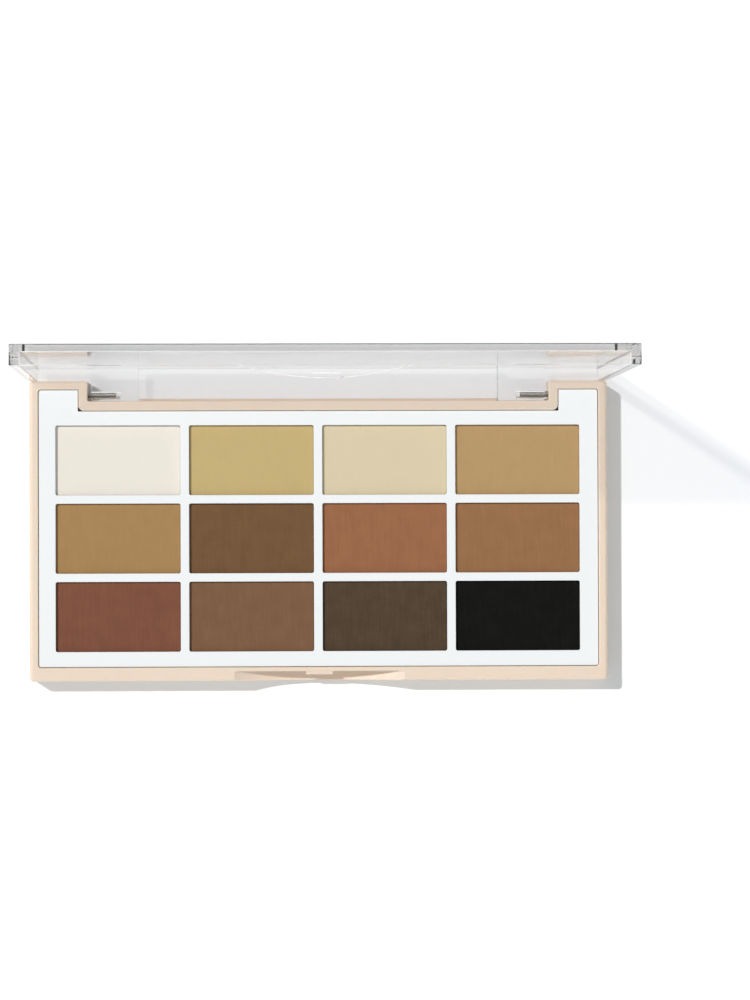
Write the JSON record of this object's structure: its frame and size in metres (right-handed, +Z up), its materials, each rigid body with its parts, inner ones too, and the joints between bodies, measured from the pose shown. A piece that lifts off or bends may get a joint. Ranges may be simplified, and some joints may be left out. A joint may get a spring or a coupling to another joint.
{
  "type": "eyeshadow palette",
  "caption": "Slim eyeshadow palette with pressed powders in a window panel and a clear lid that swings open on two hinge pins.",
  "frame": {"origin": "centre of the base's flat underside", "axes": "+X along the hinge to the user's right, +Y from the finger scoop to the hinge, +Z up"},
  "size_m": [0.145, 0.08, 0.0763],
  "materials": {
    "beige_plastic": "moulded ABS, fine satin",
    "white_plastic": "moulded polystyrene, fine satin",
    "clear_plastic": "clear styrene-acrylonitrile, polished",
    "pin_steel": "drawn steel wire, dull",
    "label_paper": "blank coated paper",
    "pan_tinplate": "pressed tinplate",
    "adhesive": "set adhesive, milky",
    "powder_ivory": "pressed powder, fully matte",
    "powder_sand": "pressed powder, fully matte",
    "powder_buff": "pressed powder, fully matte",
    "powder_honey": "pressed powder, fully matte",
    "powder_tan": "pressed powder, fully matte",
    "powder_cocoa": "pressed powder, fully matte",
    "powder_terracotta": "pressed powder, fully matte",
    "powder_caramel": "pressed powder, fully matte",
    "powder_brick": "pressed powder, fully matte",
    "powder_walnut": "pressed powder, fully matte",
    "powder_umber": "pressed powder, fully matte",
    "powder_black": "pressed powder, fully matte"
  },
  "bodies": {
    "base": {"base_tray": "beige_plastic", "insert_panel": "white_plastic", "hinge_pin_left": "pin_steel", "hinge_pin_right": "pin_steel", "base_label": "label_paper", "powder_brick": "powder_brick", "powder_walnut": "powder_walnut", "powder_umber": "powder_umber", "powder_black": "powder_black", "powder_tan": "powder_tan", "powder_cocoa": "powder_cocoa", "powder_terracotta": "powder_terracotta", "powder_caramel": "powder_caramel", "powder_ivory": "powder_ivory", "powder_sand": "powder_sand", "powder_buff": "powder_buff", "powder_honey": "powder_honey", "pan_front_1": "pan_tinplate", "pan_front_2": "pan_tinplate", "pan_front_3": "pan_tinplate", "pan_front_4": "pan_tinplate", "pan_middle_1": "pan_tinplate", "pan_middle_2": "pan_tinplate", "pan_middle_3": "pan_tinplate", "pan_middle_4": "pan_tinplate", "pan_back_1": "pan_tinplate", "pan_back_2": "pan_tinplate", "pan_back_3": "pan_tinplate", "pan_back_4": "pan_tinplate", "adhesive_front_1": "adhesive", "adhesive_front_2": "adhesive", "adhesive_front_3": "adhesive", "adhesive_front_4": "adhesive", "adhesive_middle_1": "adhesive", "adhesive_middle_2": "adhesive", "adhesive_middle_3": "adhesive", "adhesive_middle_4": "adhesive", "adhesive_back_1": "adhesive", "adhesive_back_2": "adhesive", "adhesive_back_3": "adhesive", "adhesive_back_4": "adhesive"},
    "lid": {"lid": "clear_plastic"}
  },
  "joints": [
    {"name": "lid_hinge", "type": "hinge", "parent": "base", "child": "lid", "pos_m": [0, 0.0343, 0.0044], "axis": [1, 0, 0], "range_deg": [0, 90]}
  ]
}
